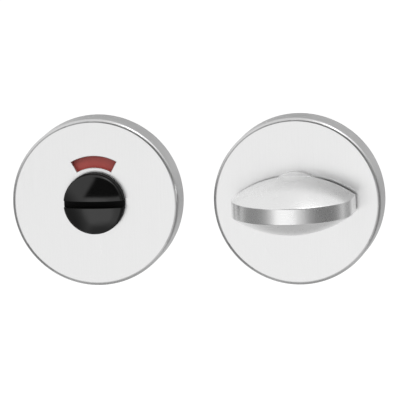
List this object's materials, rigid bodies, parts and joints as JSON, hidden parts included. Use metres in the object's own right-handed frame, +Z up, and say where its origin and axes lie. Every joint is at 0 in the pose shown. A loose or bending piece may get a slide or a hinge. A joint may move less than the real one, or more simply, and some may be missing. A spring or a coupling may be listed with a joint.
{
  "type": "bathroom thumb turn lock",
  "caption": "Bathroom lock set of round satin roses: a lens-shaped thumb turn on the inside, and a slotted coin release with a red and white indicator window on the outside.",
  "frame": {"origin": "On the thumb turn's axis, in the plane of the door's face that the bases seat on", "axes": "+X to the right seen from the front, from the release half to the turn half; +Y into the door; +Z up"},
  "size_m": [0.115, 0.0826, 0.052],
  "materials": {
    "satin_metal": "satin, finely brushed, silver anodised",
    "satin_cast_metal": "satin, silver anodised",
    "black_gloss": "glossy black",
    "white_plastic": "plain white moulding",
    "red_plastic": "plain red print field",
    "bearing_plastic": "natural nylon",
    "base_plastic": "dark grey glass-filled nylon",
    "spring_steel": "phosphated spring steel",
    "plated_steel": "bright zinc plate"
  },
  "bodies": {
    "roses": {"release_cover": "satin_metal", "release_bush": "bearing_plastic", "release_base": "base_plastic", "sleeve_nuts": "plated_steel", "turn_cover": "satin_metal", "turn_bush": "bearing_plastic", "turn_base": "base_plastic", "fixing_screws": "plated_steel"},
    "turn": {"thumb_turn": "satin_cast_metal", "turn_spring_washer": "spring_steel", "turn_retaining_ring": "spring_steel", "spindle": "plated_steel", "spindle_pin": "spring_steel"},
    "release": {"coin_release": "black_gloss", "indicator_disc": "white_plastic", "indicator_red": "red_plastic", "release_spring_washer": "spring_steel", "release_retaining_ring": "spring_steel"}
  },
  "joints": [
    {"name": "thumb_turn_hinge", "type": "hinge", "parent": "roses", "child": "turn", "pos_m": [0, 0, 0], "axis": [0, -1, 0], "range_deg": [0, 90]},
    {"name": "release_hinge", "type": "hinge", "parent": "roses", "child": "release", "pos_m": [-0.063, 0, 0], "axis": [0, -1, 0], "range_deg": [-90, 0]}
  ],
  "couplings": [
    {"joint": "release_hinge", "follows": "thumb_turn_hinge", "ratio": -1}
  ]
}
